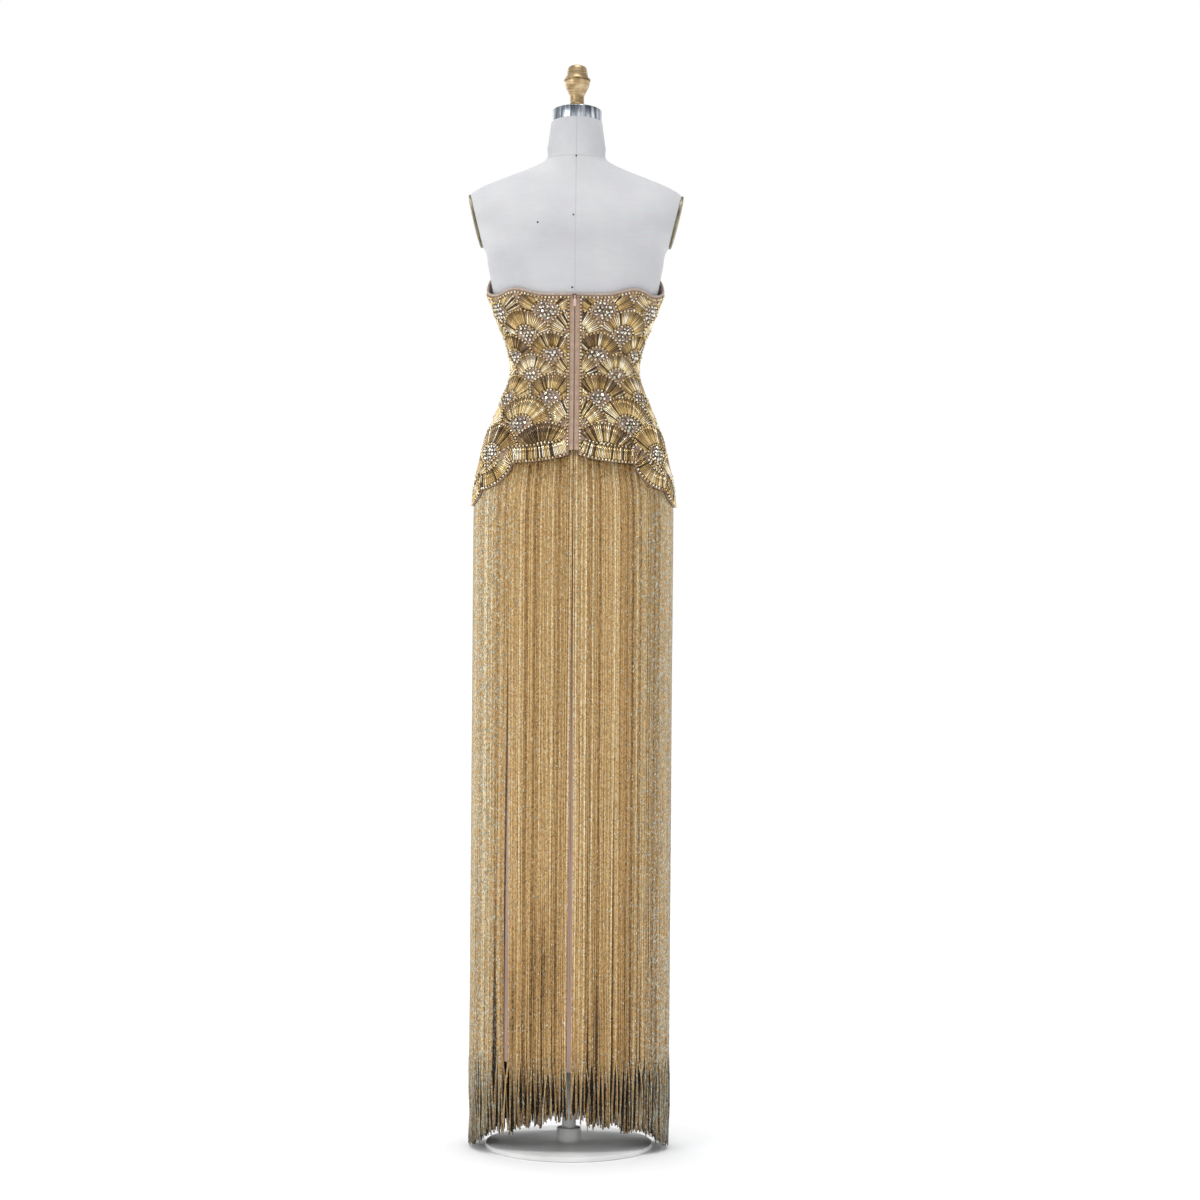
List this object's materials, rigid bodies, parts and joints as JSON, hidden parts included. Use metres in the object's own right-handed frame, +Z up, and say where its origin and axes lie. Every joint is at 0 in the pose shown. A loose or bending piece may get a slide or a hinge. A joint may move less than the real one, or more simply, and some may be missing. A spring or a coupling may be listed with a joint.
{
  "type": "evening gown on a dress form",
  "caption": "Strapless floor-length evening gown with a beaded bodice and beaded fringe skirt, zipped at the back, on a limbless dress form with a pole and round base.",
  "frame": {"origin": "on the floor under the middle of the stand's base", "axes": "+Z up, -Y towards the viewer of the zipped back, +Y to the gown's front, +X to the wearer's right"},
  "size_m": [0.3842, 0.3, 1.9501],
  "materials": {
    "beaded_gold": "gold glass bugles, gold beads and pale crystals sewn all over a nude mesh",
    "piping_nude": "matt nude-pink piping",
    "zip_tape": "mauve woven zip tape",
    "zip_metal": "nude lacquer on metal",
    "zip_pull": "pale pink lacquer on metal",
    "underskirt_mauve": "mauve-pink satin",
    "fringe_gold": "strands of small gold and pale glass beads",
    "form_linen": "pale grey-white linen over a moulded torso",
    "arm_plate": "dull olive bronze",
    "neck_steel": "brushed steel",
    "finial_brass": "gold lacquer, satin",
    "stand_paint": "white powder coat"
  },
  "bodies": {
    "gown_on_form": {"bodice_back_left": "beaded_gold", "bodice_back_right": "beaded_gold", "bodice_side_front_left": "beaded_gold", "bodice_side_front_right": "beaded_gold", "bodice_centre_front": "beaded_gold", "neckline_piping": "piping_nude", "zip_tape_left": "zip_tape", "zip_tape_right": "zip_tape", "zip_slider": "zip_metal", "underskirt_back_left": "underskirt_mauve", "underskirt_back_right": "underskirt_mauve", "underskirt_front": "underskirt_mauve", "fringe_back_left": "fringe_gold", "fringe_back_right": "fringe_gold", "fringe_front": "fringe_gold", "form_torso": "form_linen", "form_arm_plate_left": "arm_plate", "form_arm_plate_right": "arm_plate", "form_neck_cap": "neck_steel", "form_finial": "finial_brass", "stand_pole": "stand_paint", "stand_base": "stand_paint"},
    "zip_pull": {"zip_pull": "zip_pull"}
  },
  "joints": [
    {"name": "zip_pull_swing", "type": "hinge", "parent": "gown_on_form", "child": "zip_pull", "pos_m": [0, -0.09695, 1.519], "axis": [-1, 0, 0], "range_deg": [0, 150]}
  ]
}
